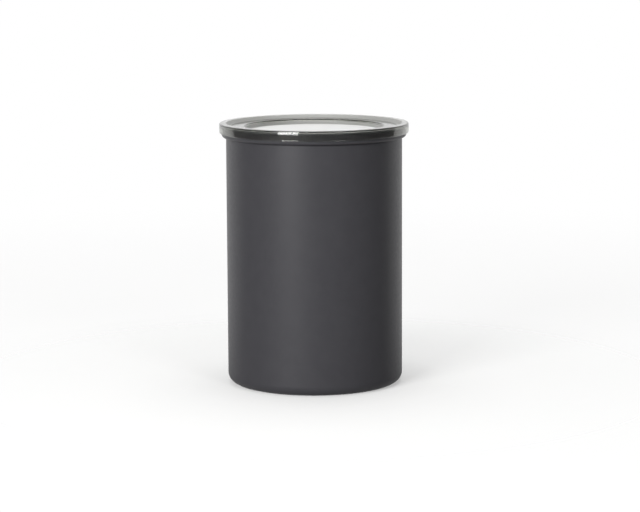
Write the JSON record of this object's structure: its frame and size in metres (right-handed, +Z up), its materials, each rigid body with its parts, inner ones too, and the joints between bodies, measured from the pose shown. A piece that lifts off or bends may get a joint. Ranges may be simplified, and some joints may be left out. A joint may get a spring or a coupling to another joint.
{
  "type": "coffee canister with valve",
  "caption": "Matte steel coffee canister with a tinted clear lid and a valved inner lid that slides down onto the coffee; a folding handle lifts the valve by cams.",
  "frame": {"origin": "on the floor, at the centre of the can's base", "axes": "+Z up along the can's axis, +Y towards the side that the handle folds to, +X along the handle's hinge"},
  "size_m": [0.1305, 0.1306, 0.18],
  "materials": {
    "can_paint": "matte charcoal paint outside up to the top of the rolled rim, bare brushed steel inside",
    "smoke_plastic": "smoke-tinted clear, glossy, with a frosted panel",
    "black_plastic": "fine moulded grain",
    "white_plastic": "smooth natural acetal",
    "grey_silicone": "satin silicone",
    "bright_steel": "drawn stainless steel"
  },
  "bodies": {
    "canister": {"canister_body": "can_paint"},
    "lid": {"outer_lid": "smoke_plastic"},
    "plunger": {"plunger_plate": "black_plastic", "wall_gasket": "grey_silicone", "bean_screen": "black_plastic", "valve_bonnet": "black_plastic", "valve_spring": "bright_steel", "handle_pin_right": "bright_steel", "handle_pin_left": "bright_steel"},
    "handle": {"bail_handle": "black_plastic"},
    "valve": {"valve_poppet": "white_plastic", "valve_seal": "grey_silicone", "valve_button": "black_plastic", "stem_nut": "bright_steel"}
  },
  "joints": [
    {"name": "lid_lift", "type": "slide", "parent": "canister", "child": "lid", "axis": [0, 0, 1], "range_m": [0, 0.06]},
    {"name": "plunger_slide", "type": "slide", "parent": "canister", "child": "plunger", "axis": [0, 0, 1], "range_m": [-0.1003, 0]},
    {"name": "handle_fold", "type": "hinge", "parent": "plunger", "child": "handle", "pos_m": [0, 0, 0.12439], "axis": [1, 0, 0], "range_deg": [0, 90]},
    {"name": "valve_lift", "type": "slide", "parent": "plunger", "child": "valve", "axis": [0, 0, 1], "range_m": [0, 0.0035], "deforming": ["valve_spring"]}
  ],
  "couplings": [
    {"joint": "valve_lift", "follows": "handle_fold", "m_per_rad": 0.002228}
  ]
}
